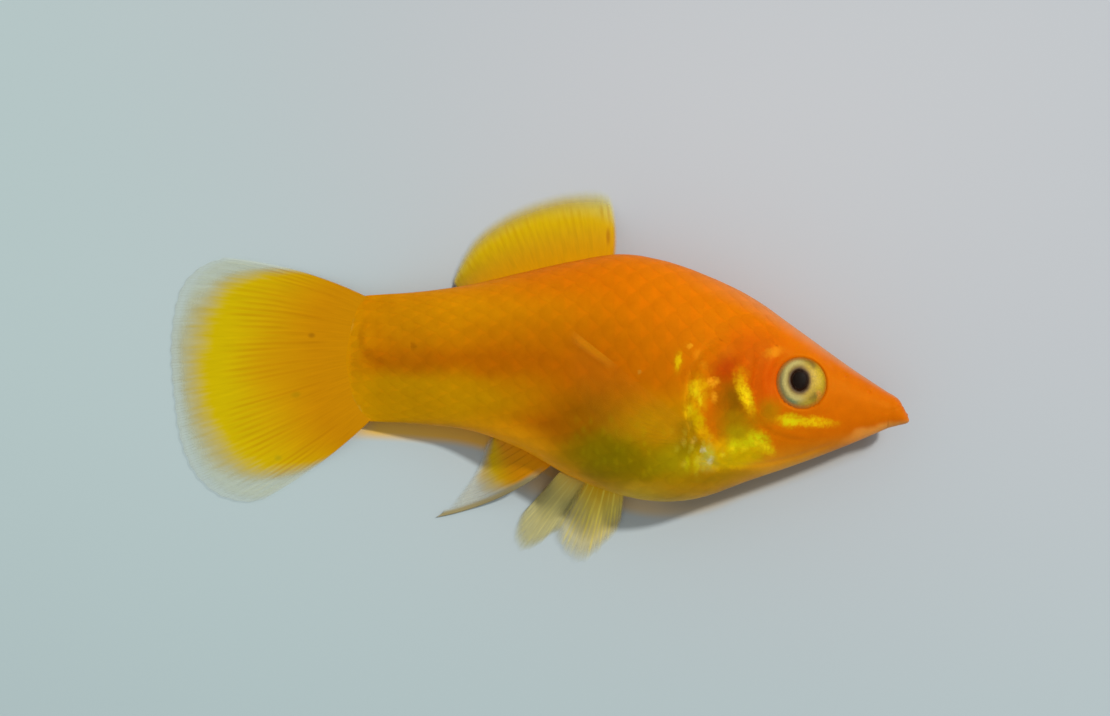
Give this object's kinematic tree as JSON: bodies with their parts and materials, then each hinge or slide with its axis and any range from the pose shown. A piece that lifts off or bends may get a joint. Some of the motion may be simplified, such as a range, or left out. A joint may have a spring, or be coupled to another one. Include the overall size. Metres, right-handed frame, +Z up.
{
  "type": "orange molly fish",
  "caption": "Life-size orange molly lying on its left flank, with spread fins, a rounded tail fin, an upturned mouth and gold gill covers.",
  "frame": {"origin": "centre of the bounding box, on the floor that the fish lies on", "axes": "+X towards the snout, +Y towards the back, +Z up, out of the right flank"},
  "size_m": [0.07, 0.0364, 0.0108],
  "materials": {
    "orange_skin": "wet, finely scaled skin",
    "amber_skin": "wet, finely scaled skin",
    "gold_gill_cover": "wet skin with gold flecks",
    "yellow_fin": "thin ribbed membrane, clear at its margin",
    "gold_iris": "pale gold under a clear wet cornea"
  },
  "bodies": {
    "root": {"head": "orange_skin", "lower_jaw": "orange_skin", "gill_cover_right": "gold_gill_cover", "gill_cover_left": "gold_gill_cover", "trunk": "orange_skin", "tail_stem": "amber_skin", "dorsal_fin": "yellow_fin", "caudal_fin": "yellow_fin", "anal_fin": "yellow_fin", "pelvic_fin_right": "yellow_fin", "pelvic_fin_left": "yellow_fin", "pectoral_fin_right": "yellow_fin", "pectoral_fin_left": "yellow_fin", "eye_right": "gold_iris", "eye_left": "gold_iris"}
  },
  "joints": []
}
